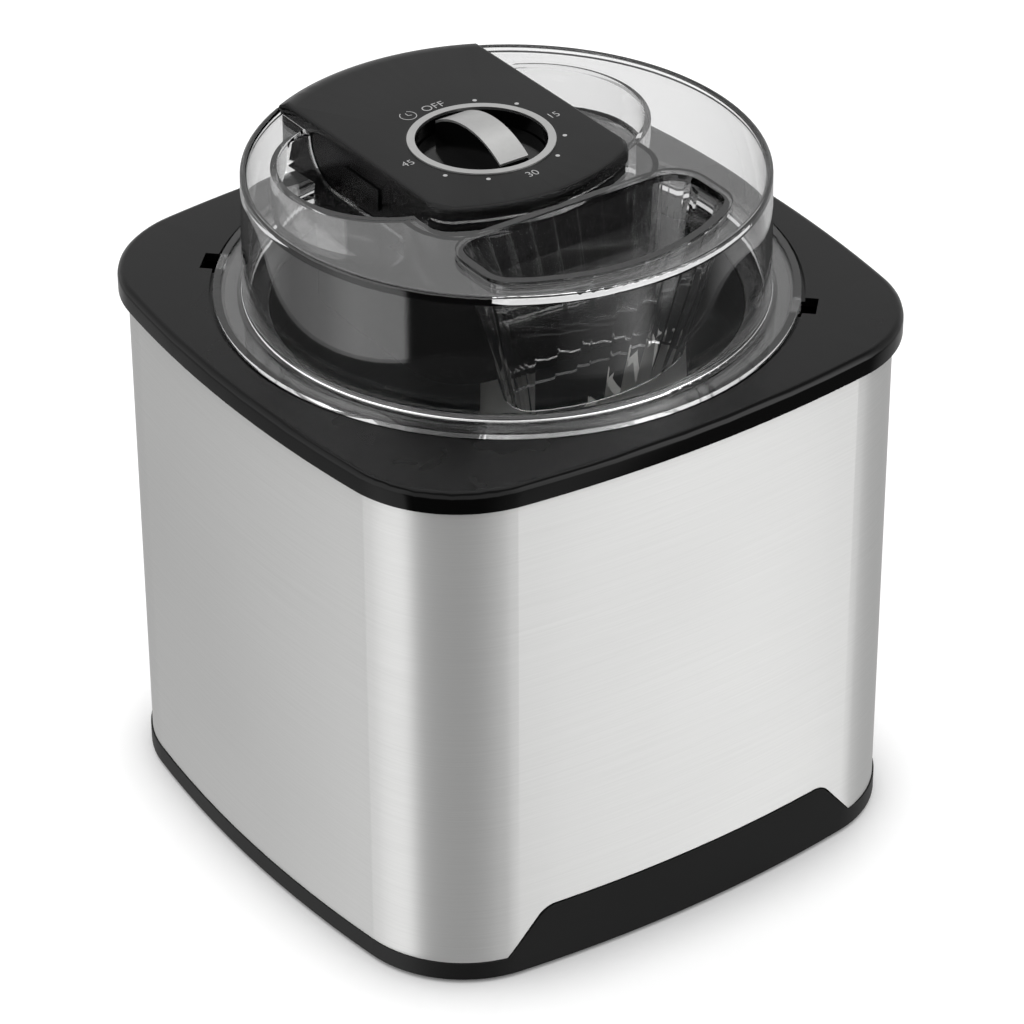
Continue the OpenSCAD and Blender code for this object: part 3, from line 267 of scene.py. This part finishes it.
# Hard anodised spun aluminium: dark grey, with rings round the bowl's axis,
# drawn wider than the real ones
SPUN_ALUMINIUM = metal("anodised_aluminium", "#5e6163", "#505355", roughness=0.4,
                       spacing=(70, 70, 0.67), anisotropy=0.6)
# Satin plating on moulded trim: an even, soft silver without lines
SATIN_PLATING = metal("satin_plating", "#c0c0bf", "#b6b6b5", roughness=0.42,
                      spacing=(3.3, 3.3, 3.3))
# Zinc plating on screws: a slightly warm, mottled grey
ZINC_PLATING = metal("zinc_plating", "#b4b4b0", "#9f9f9b", roughness=0.35,
                     spacing=(1.7, 1.7, 1.7))
# Ground steel of shafts, pins and the motor's pinion: bright, with fine rings
GROUND_STEEL = metal("ground_steel", "#c4c5c6", "#b2b3b4", roughness=0.22,
                     spacing=(25, 25, 0.56), anisotropy=0.5)
# Pressed steel of the motor's can and the gear plate: plain, with faint clouds
PRESSED_STEEL = metal("pressed_steel", "#adb0b2", "#9fa2a4", roughness=0.4,
                      spacing=(11, 11, 11))
# Sintered bronze of the output's bush: a dull gold, grainy from its powder
SINTERED_BRONZE = metal("sintered_bronze", "#b08d4a", "#98783c", roughness=0.45,
                        spacing=(1.1, 1.1, 1.1))


# ---- Clear lid ----

STYRENE_IOR = 1.59
# A polished moulding is still faintly rippled
RIPPLE_WIDTH = 29 * MM
RIPPLE_DEPTH = 0.02 * MM


def clear_styrene():
    """Polished clear polystyrene: it mirrors the room at its edges and lets
    most light through. Shadows stay as pale as real clear plastic's."""
    material, tree = new_material("clear_styrene")
    place = add(tree, "ShaderNodeTexCoord")
    flow = add(tree, "ShaderNodeTexNoise",
               {"Vector": (place, "Object"), "Scale": 1 / RIPPLE_WIDTH, "Detail": 1.0})
    bump = add(tree, "ShaderNodeBump",
               {"Strength": 1.0, "Distance": RIPPLE_DEPTH, "Height": (flow, "Fac")})
    body = add(tree, "ShaderNodeBsdfPrincipled",
               {"Base Color": linear("#fafafa"), "Metallic": 0.0, "Roughness": 0.0,
                "IOR": STYRENE_IOR, "Transmission Weight": 1.0, "Normal": (bump, "Normal")})
    passing = add(tree, "ShaderNodeBsdfTransparent", {"Color": linear("#f0f0f0")})
    ray = add(tree, "ShaderNodeLightPath")
    mixed = add(tree, "ShaderNodeMixShader",
                {0: (ray, "Is Shadow Ray"), 1: (body, "BSDF"), 2: (passing, "BSDF")})
    add(tree, "ShaderNodeOutputMaterial", {"Surface": (mixed, "Shader")})
    return material


CLEAR_STYRENE = clear_styrene()

# The finish of every node
FINISHES = {
    "base": BASE_ABS, "feet": FOOT_RUBBER, "base_screws": ZINC_PLATING,
    "steel_sleeve": BRUSHED_STAINLESS, "top_cover": COVER_ABS, "liner": LINER_PP,
    "liner_screws": ZINC_PLATING, "bowl_shell": SHELL_PP, "bowl_cup": SPUN_ALUMINIUM,
    "bowl_coolant": COOLING_GEL, "bowl_rim": GLOSS_ABS, "paddle": PADDLE_PP,
    "lid": CLEAR_STYRENE, "lid_chute": CLEAR_STYRENE, "lid_pockets": CLEAR_STYRENE,
    "lid_skirt": GLOSS_ABS, "unit_shell": TOP_PLATE_ABS, "unit_base": GLOSS_ABS,
    "unit_screws": ZINC_PLATING, "dial_ring": SATIN_PLATING, "timer_module": TIMER_CASE,
    "motor": PRESSED_STEEL, "gear_plate": PRESSED_STEEL, "gear_pins": GROUND_STEEL,
    "output_bush": SINTERED_BRONZE, "terminal_block": TERMINAL_NYLON,
    "cord_gland": GLAND_RUBBER, "knob": GLOSS_ABS, "knob_strip": SATIN_PLATING,
    "timer_shaft": GROUND_STEEL, "latch_left": GLOSS_ABS, "latch_right": GLOSS_ABS,
    "motor_pinion": GROUND_STEEL, "gear_first": GEAR_ACETAL, "gear_second": GEAR_ACETAL,
    "output_gear": GEAR_ACETAL, "output_shaft": GROUND_STEEL,
}
for node, finish in FINISHES.items():
    NODES[node].data.materials.clear()
    NODES[node].data.materials.append(finish)


# ---- Pieces made anew from the model's loose triangles ----

WELD_REACH = 0.002 * MM
# Edges that turn by more degrees than this stay sharp
SHELL_CREASE = 32
LID_CREASE = 40
# Just outside the flange, so that it takes off only the catches' tabs
LID_TRIM_RADIUS = 95.5 * MM
LID_TRIM_SIDES = 256
# How much thicker the chute and the pockets are made, so that no hairline is
# left where they meet the deck
JOIN_OVERLAP = 0.06 * MM


def welded(node):
    """A copy of a node with its loose triangles joined."""
    work = bmesh.new()
    work.from_mesh(NODES[node].data)
    bmesh.ops.remove_doubles(work, verts=work.verts, dist=WELD_REACH)
    mesh = as_mesh(work, node)
    mesh.attributes.remove(mesh.attributes["custom_normal"])
    return in_scene(node, mesh)


def evaluated(holder):
    """Turns a curve, or an object with modifiers, into a plain mesh and
    removes the object."""
    bpy.context.view_layer.update()
    mesh = bpy.data.meshes.new_from_object(
        holder.evaluated_get(bpy.context.evaluated_depsgraph_get()))
    bpy.data.objects.remove(holder)
    return mesh


def combine(whole, other, how):
    """Adds a boolean with another closed solid to the whole's steps."""
    step = whole.modifiers.new(how.lower(), "BOOLEAN")
    step.operation = how
    step.solver = "MANIFOLD"
    step.object = other


def rounded_off(holder, name, finish, crease, weight):
    """Shades a welded piece smooth up to the crease angle, its flats flat."""
    holder.data.shade_smooth()
    holder.data.set_sharp_from_angle(angle=math.radians(crease))
    weighted = holder.modifiers.new("weighted", "WEIGHTED_NORMAL")
    weighted.keep_sharp = True
    weighted.mode = weight
    mesh = evaluated(holder)
    mesh.materials.clear()
    mesh.materials.append(finish)
    return in_scene(name, mesh)


def thickened(holder, extra):
    """Moves every point of a closed solid outwards."""
    moved = [point.co + point.normal * extra for point in holder.data.vertices]
    for point, place in zip(holder.data.vertices, moved):
        point.co = place
    return holder


def trimming_disc():
    """A tall round block that keeps what is within the lid's flange."""
    work = bmesh.new()
    bmesh.ops.create_cone(work, cap_ends=True, segments=LID_TRIM_SIDES, depth=1.0,
                          radius1=LID_TRIM_RADIUS, radius2=LID_TRIM_RADIUS)
    return in_scene("disc", as_mesh(work, "disc"))


def one_clear_lid():
    """Wall, deck, chute and pockets are one clear moulding, with no seams.
    The catches' tabs are left off, so that their notches look open and dark."""
    whole = welded("lid")
    fittings = [thickened(welded(node), JOIN_OVERLAP) for node in ("lid_chute", "lid_pockets")]
    for fitting in fittings:
        combine(whole, fitting, "UNION")
    disc = trimming_disc()
    combine(whole, disc, "INTERSECT")
    mesh = evaluated(whole)
    for helper in fittings + [disc]:
        bpy.data.objects.remove(helper)
    piece = rounded_off(in_scene("moulding", mesh), "clear_lid", CLEAR_STYRENE,
                        LID_CREASE, "FACE_AREA_WITH_ANGLE")
    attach(piece, "lid")
    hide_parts("lid", "lid_chute", "lid_pockets")


def smooth_shells():
    """The cover and the top plate, their rounded edges shaded as curves."""
    for node, name, body, slot in (
            ("top_cover", "cover_shell", "housing", "black_housing"),
            ("unit_shell", "unit_top", "motor_unit", "unit_plastic")):
        piece = rounded_off(welded(node), name, FINISHES[node], SHELL_CREASE, "FACE_AREA")
        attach(piece, body)
        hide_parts(node)


one_clear_lid()
smooth_shells()


# ---- Marks printed round the dial, and painted shade round its ring ----

# White pad printing: a thin coat that looks slightly grey, faintly textured
DIAL_PRINT = moulded_plastic("dial_print", "#c4c4c4", "#b6b6b6", roughness=0.5,
                             sheen_gap=0.04, grain=1.0, depth=0.003)

RING_LOW, RING_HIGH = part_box("dial_ring")
# The dial's ring is sunk into the plate to half its height
PLATE_TOP = (RING_LOW.z + RING_HIGH.z) / 2
DIAL_Y = (RING_LOW.y + RING_HIGH.y) / 2
DIAL_RING_RADIUS = (RING_HIGH.x - RING_LOW.x) / 2
PRINT_HEIGHT = 0.06 * MM
# From the dial's axis to the middle of the dots, the numbers and the word OFF
DOTS_RADIUS = 26.9 * MM
NUMBERS_RADIUS = 28.4 * MM
OFF_RADIUS = 27.5 * MM
DOT_RADIUS = 0.74 * MM
DOT_SIDES = 20
# Places round the scale, counted from the right towards the rear. A number or
# OFF stands at each third one, and the two about FREE_MIDDLE are left free,
# beside the clock.
DIAL_PLACES = 12
NUMBER_EVERY = 3
FREE_MIDDLE = 4.5
NUMBER_SIZE = 4.6 * MM
OFF_SIZE = 5.0 * MM
# The type face is bolder than the print, so its strokes are drawn in
STROKES_DRAWN_IN = 0.06 * MM
# The clock beside OFF: a ring with a gap at its top, and two hands
CLOCK_X, CLOCK_Y = -10.2 * MM, DIAL_Y + 27.0 * MM
CLOCK_OUTER, CLOCK_INNER = 2.9 * MM, 2.65 * MM
CLOCK_START, CLOCK_END = 120, 430
CLOCK_STEPS = 40
LONG_HAND = (0, 1.7 * MM)
SHORT_HAND = (1.3 * MM, -0.3 * MM)
HAND_WIDTH = 0.26 * MM
# Painted shade: a dark ring on the plate, where shade falls in the gap round the dial's ring
GAP_SHADE_INNER = DIAL_RING_RADIUS + 0.02 * MM
GAP_SHADE_OUTER = DIAL_RING_RADIUS + 0.5 * MM
GAP_SHADE_STEPS = 96


def printed_word(word, size, x, y):
    """A raised word, with its middle at x, y."""
    curve = bpy.data.curves.new("word", "FONT")
    curve.body = word
    curve.size = size
    curve.extrude = PRINT_HEIGHT / 2
    curve.offset = -STROKES_DRAWN_IN
    curve.align_x = "CENTER"
    curve.align_y = "CENTER"
    mesh = evaluated(in_scene("word", curve))
    mesh.transform(Matrix.Translation((x, y, PLATE_TOP + PRINT_HEIGHT / 2)))
    return mesh


def dial_dots():
    """The dots of the scale, at the places that neither a number nor the
    clock takes: a Geometry Nodes ring."""
    tree = bpy.data.node_groups.new("dial_dots", "GeometryNodeTree")
    inputs = {}
    for title, value in (("Ring Radius", DOTS_RADIUS), ("Dot Radius", DOT_RADIUS),
                         ("Dot Height", PRINT_HEIGHT)):
        socket = tree.interface.new_socket(title, in_out="INPUT",
                                           socket_type="NodeSocketFloat")
        inputs[socket.identifier] = value
    tree.interface.new_socket("Geometry", in_out="OUTPUT", socket_type="NodeSocketGeometry")
    given = add(tree, "NodeGroupInput")
    places = add(tree, "GeometryNodeMeshCircle",
                 {"Vertices": DIAL_PLACES, "Radius": (given, "Ring Radius")})
    dot = add(tree, "GeometryNodeMeshCylinder",
              {"Vertices": DOT_SIDES, "Radius": (given, "Dot Radius"),
               "Depth": (given, "Dot Height")})
    index = add(tree, "GeometryNodeInputIndex")
    # 0 where a number stands
    no_number = add(tree, "ShaderNodeMath", {0: (index, "Index"), 1: NUMBER_EVERY},
                    operation="MODULO")
    past_free = add(tree, "ShaderNodeMath", {0: (index, "Index"), 1: FREE_MIDDLE},
                    operation="SUBTRACT")
    away = add(tree, "ShaderNodeMath", {0: (past_free, "Value")}, operation="ABSOLUTE")
    # 1 at every place but the two left free
    not_free = add(tree, "ShaderNodeMath", {0: (away, "Value"), 1: 1.0},
                   operation="GREATER_THAN")
    chosen = add(tree, "ShaderNodeMath", {0: (no_number, "Value"), 1: (not_free, "Value")},
                 operation="MULTIPLY")
    dots = add(tree, "GeometryNodeInstanceOnPoints",
               {"Points": (places, "Mesh"), "Selection": (chosen, "Value"),
                "Instance": (dot, "Mesh")})
    real = add(tree, "GeometryNodeRealizeInstances", {"Geometry": (dots, "Instances")})
    finished = add(tree, "GeometryNodeSetMaterial",
                   {"Geometry": (real, "Geometry"), "Material": DIAL_PRINT})
    add(tree, "NodeGroupOutput", {"Geometry": (finished, "Geometry")})
    holder = in_scene("dial_dots", bpy.data.meshes.new("dial_dots"))
    modifier = holder.modifiers.new("dial_dots", "NODES")
    modifier.node_group = tree
    for identifier, value in inputs.items():
        modifier[identifier] = value
    mesh = evaluated(holder)
    mesh.transform(Matrix.Translation((0, DIAL_Y, PLATE_TOP + PRINT_HEIGHT / 2)))
    return mesh


def printed_arc(work, x, y, outer, inner, start, end, steps):
    """A raised arc, from start to end in degrees, or a whole ring at 360."""
    top = PLATE_TOP + PRINT_HEIGHT
    section = ((outer, PLATE_TOP), (outer, top), (inner, top), (inner, PLATE_TOP))
    whole = end - start == 360
    rows = []
    for step in range(steps if whole else steps + 1):
        angle = math.radians(start + (end - start) * step / steps)
        rows.append([work.verts.new((x + radius * math.cos(angle),
                                     y + radius * math.sin(angle), height))
                     for radius, height in section])
    for here, there in zip(rows, rows[1:] + rows[:1] if whole else rows[1:]):
        for corner in range(4):
            after = (corner + 1) % 4
            work.faces.new((here[corner], there[corner], there[after], here[after]))
    if not whole:
        work.faces.new(rows[0])
        work.faces.new(list(reversed(rows[-1])))


def printed_hand(work, reach):
    """A raised stroke from the clock's middle, as far as reach."""
    middle = Vector((CLOCK_X, CLOCK_Y))
    tip = middle + Vector(reach)
    side = (tip - middle).normalized().orthogonal() * HAND_WIDTH / 2
    outline = [middle + side, middle - side, tip - side, tip + side]
    bottom = [work.verts.new((point.x, point.y, PLATE_TOP)) for point in outline]
    top = [work.verts.new((point.x, point.y, PLATE_TOP + PRINT_HEIGHT)) for point in outline]
    work.faces.new(top)
    work.faces.new(list(reversed(bottom)))
    for corner in range(4):
        after = (corner + 1) % 4
        work.faces.new((bottom[corner], bottom[after], top[after], top[corner]))


def dial_marks():
    """The clock, the word OFF, the minutes and the dots, as one piece."""
    work = bmesh.new()
    printed_arc(work, CLOCK_X, CLOCK_Y, CLOCK_OUTER, CLOCK_INNER, CLOCK_START, CLOCK_END,
                CLOCK_STEPS)
    printed_hand(work, LONG_HAND)
    printed_hand(work, SHORT_HAND)
    bmesh.ops.recalc_face_normals(work, faces=work.faces)
    for part in (dial_dots(),
                 printed_word("OFF", OFF_SIZE, 0, DIAL_Y + OFF_RADIUS),
                 printed_word("15", NUMBER_SIZE, NUMBERS_RADIUS, DIAL_Y),
                 printed_word("30", NUMBER_SIZE, 0, DIAL_Y - NUMBERS_RADIUS),
                 printed_word("45", NUMBER_SIZE, -NUMBERS_RADIUS, DIAL_Y)):
        work.from_mesh(part)
    mesh = as_mesh(work, "dial_marks")
    mesh.materials.append(DIAL_PRINT)
    piece = in_scene("dial_marks", mesh)
    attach(piece, "motor_unit")


def painted_gap_shade():
    """Painted shade: a ring of black plastic laid on the plate, where shade falls in the
    hairline gap round the dial's ring.
    """
    work = bmesh.new()
    printed_arc(work, 0.0, DIAL_Y, GAP_SHADE_OUTER, GAP_SHADE_INNER, 0, 360, GAP_SHADE_STEPS)
    bmesh.ops.recalc_face_normals(work, faces=work.faces)
    mesh = as_mesh(work, "painted_gap_shade")
    mesh.materials.append(GLOSS_ABS)
    piece = in_scene("painted_gap_shade", mesh)
    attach(piece, "motor_unit")


dial_marks()
painted_gap_shade()


# ---- Studio ----

# What gloss mirrors, as directions and strengths. A direction is in degrees
# round from -X towards -Y, where the camera stands at about 55. Below eye
# level a bright panel stands on each side of a dark one in front.
LOW_PANELS = ((-178, 0.5), (-75, 0.45), (-50, 0.45), (-30, 0.75), (-14, 1.3), (10, 1.3),
              (13, 0.05), (75, 0.05), (100, 0.4), (112, 0.9), (117, 0.6), (122, 0.12),
              (150, 0.12), (165, 0.5))
# Above eye level the walls are pale all round and brightest on each side
HIGH_PANELS = ((-178, 0.75), (-75, 0.85), (-45, 1.4), (-20, 2.1), (8, 2.2), (18, 1.45),
               (60, 1.4), (95, 1.8), (108, 2.7), (120, 3.5), (136, 3.8), (144, 2.2),
               (156, 1.1))
# The low panels fade into the high ones from this many degrees below eye level
PANELS_FADE_FROM = -14
# Round WALL_TOP degrees up the walls fade into a dim ceiling
WALL_TOP = 46
WALL_TOP_FADE = 8
CEILING_LEVEL = 0.35
# Soft light that falls on everything from all sides
DOME_LEVEL = 0.62
# Half of the floor's width
FLOOR_REACH = 6.0
# What the floor glows of itself, so that it looks white between shadows
FLOOR_GLOW = 0.5
# The glow fades this close to the object, so that its shadow is deep and narrow
SHADOW_REACH = 24 * MM
# A square lamp high above and a little behind, in metres and watts
SOFTBOX_PLACE = Vector((0.1, 0.3, 1.6))
SOFTBOX_AIM = Vector((0, 0, 0.1))
SOFTBOX_WIDTH, SOFTBOX_POWER = 1.4, 8.0
# The camera stands at the front left, about a metre and a half away, and is
# turned a little about the line that it looks along
CAMERA_PLACE = Vector((-727.44, -1043.95, 918.64)) * MM
CAMERA_AIM = Vector((-5.1, -9.49, 108)) * MM
CAMERA_ROLL = -0.256


def sight_and_mirror(tree):
    """Two factors. The first is 1 for what is seen straight or through clear
    plastic, the second for what gloss mirrors, also through clear plastic."""
    ray = add(tree, "ShaderNodeLightPath")
    # 1 until something has mirrored the ray
    direct = add(tree, "ShaderNodeMath", {0: (ray, "Glossy Depth"), 1: 0.5},
                 operation="LESS_THAN")
    through = add(tree, "ShaderNodeMath",
                  {0: (ray, "Is Transmission Ray"), 1: (direct, "Value")},
                  operation="MULTIPLY")
    seen = add(tree, "ShaderNodeMath", {0: (ray, "Is Camera Ray"), 1: (through, "Value")},
               operation="MAXIMUM")
    beyond = add(tree, "ShaderNodeMath",
                 {0: (ray, "Is Transmission Ray"), 1: (through, "Value")},
                 operation="SUBTRACT")
    mirrored = add(tree, "ShaderNodeMath", {0: (ray, "Is Glossy Ray"), 1: (beyond, "Value")},
                   operation="MAXIMUM")
    return (seen, "Value"), (mirrored, "Value")


def panel_ring(tree, around, panels):
    """Panels round the room: levels by direction, blended between stops."""
    brightest = max(level for _, level in panels)
    shades = add(tree, "ShaderNodeValToRGB", {"Fac": around})
    stops = shades.color_ramp.elements
    in_turn = sorted((degrees % 360, level) for degrees, level in panels)
    for number, (degrees, level) in enumerate(in_turn):
        # a colour ramp starts with two stops of its own
        stop = stops[number] if number < 2 else stops.new(degrees / 360)
        stop.position = degrees / 360
        stop.color = grey(level / brightest)
    return add(tree, "ShaderNodeVectorMath", {0: (shades, "Color"), 1: (brightest,) * 3},
               operation="MULTIPLY"), "Vector"


def studio_world():
    """A white room. Camera and glass see it plain white, gloss mirrors it with
    its panels, which give the steel its soft bands, and its light is even."""
    world = bpy.data.worlds.new("studio")
    world.use_nodes = True
    tree = world.node_tree
    tree.nodes.clear()
    place = add(tree, "ShaderNodeTexCoord")
    about = add(tree, "ShaderNodeTexGradient", {"Vector": (place, "Generated")},
                gradient_type="RADIAL")
    height = (add(tree, "ShaderNodeSeparateXYZ", {"Vector": (place, "Generated")}), "Z")
    above = add(tree, "ShaderNodeMapRange",
                {"Value": height, "From Min": math.sin(math.radians(PANELS_FADE_FROM)),
                 "From Max": 0.0}, interpolation_type="SMOOTHSTEP")
    walls = add(tree, "ShaderNodeMix",
                {0: (above, "Result"), 6: panel_ring(tree, (about, "Fac"), LOW_PANELS),
                 7: panel_ring(tree, (about, "Fac"), HIGH_PANELS)}, data_type="RGBA")
    overhead = add(tree, "ShaderNodeMapRange",
                   {"Value": height,
                    "From Min": math.sin(math.radians(WALL_TOP - WALL_TOP_FADE)),
                    "From Max": math.sin(math.radians(WALL_TOP + WALL_TOP_FADE))},
                   interpolation_type="SMOOTHSTEP")
    room = add(tree, "ShaderNodeMix",
               {0: (overhead, "Result"), 6: (walls, 2), 7: grey(CEILING_LEVEL)},
               data_type="RGBA")
    sight, mirror = sight_and_mirror(tree)
    dome = add(tree, "ShaderNodeBackground",
               {"Color": linear("#ffffff"), "Strength": DOME_LEVEL})
    mirrored = add(tree, "ShaderNodeBackground", {"Color": (room, 2), "Strength": 1.0})
    seen = add(tree, "ShaderNodeBackground", {"Color": linear("#ffffff"), "Strength": 1.0})
    gloss = add(tree, "ShaderNodeMixShader",
                {0: mirror, 1: (dome, "Background"), 2: (mirrored, "Background")})
    mixed = add(tree, "ShaderNodeMixShader",
                {0: sight, 1: (gloss, "Shader"), 2: (seen, "Background")})
    add(tree, "ShaderNodeOutputWorld", {"Surface": (mixed, "Shader")})
    SCENE.world = world


def studio_floor():
    """White paper that catches the shadow. Gloss looks through it at the
    room's panels, so that steel and clear plastic mirror the studio."""
    material, tree = new_material("studio_floor")
    paper = add(tree, "ShaderNodeBsdfDiffuse", {"Color": linear("#e8e8e8")})
    near = add(tree, "ShaderNodeAmbientOcclusion",
               {"Color": linear("#ffffff"), "Distance": SHADOW_REACH})
    glow = add(tree, "ShaderNodeEmission", {"Color": (near, "Color"), "Strength": FLOOR_GLOW})
    lit = add(tree, "ShaderNodeAddShader", {0: (paper, "BSDF"), 1: (glow, "Emission")})
    sight, mirror = sight_and_mirror(tree)
    plain = add(tree, "ShaderNodeMixShader",
                {0: sight, 1: (paper, "BSDF"), 2: (lit, "Shader")})
    open_floor = add(tree, "ShaderNodeBsdfTransparent")
    both = add(tree, "ShaderNodeMixShader",
               {0: mirror, 1: (plain, "Shader"), 2: (open_floor, "BSDF")})
    add(tree, "ShaderNodeOutputMaterial", {"Surface": (both, "Shader")})
    work = bmesh.new()
    bmesh.ops.create_grid(work, x_segments=1, y_segments=1, size=FLOOR_REACH)
    mesh = as_mesh(work, "studio_floor")
    mesh.materials.append(material)
    floor = in_scene("studio_floor", mesh)


def overhead_softbox():
    """Soft top light."""
    lamp = bpy.data.lights.new("overhead_softbox", "AREA")
    lamp.shape = "SQUARE"
    lamp.size = SOFTBOX_WIDTH
    lamp.energy = SOFTBOX_POWER
    holder = in_scene("overhead_softbox", lamp)
    holder.location = SOFTBOX_PLACE
    ahead = SOFTBOX_AIM - SOFTBOX_PLACE
    holder.rotation_euler = ahead.to_track_quat("-Z", "Y").to_euler()


def studio_camera():
    """A long lens, which keeps the sides nearly parallel."""
    lens = bpy.data.cameras.new("camera")
    lens.sensor_fit = "HORIZONTAL"
    lens.sensor_width = 36.0
    lens.lens = 158.68
    lens.clip_end = 20.0
    camera = in_scene("camera", lens)
    level = (CAMERA_AIM - CAMERA_PLACE).to_track_quat("-Z", "Y").to_matrix().to_4x4()
    roll = Matrix.Rotation(math.radians(CAMERA_ROLL), 4, "Z")
    camera.matrix_world = Matrix.Translation(CAMERA_PLACE) @ level @ roll
    SCENE.camera = camera


studio_world()
studio_floor()
overhead_softbox()
studio_camera()
SCENE.view_settings.view_transform = "Standard"
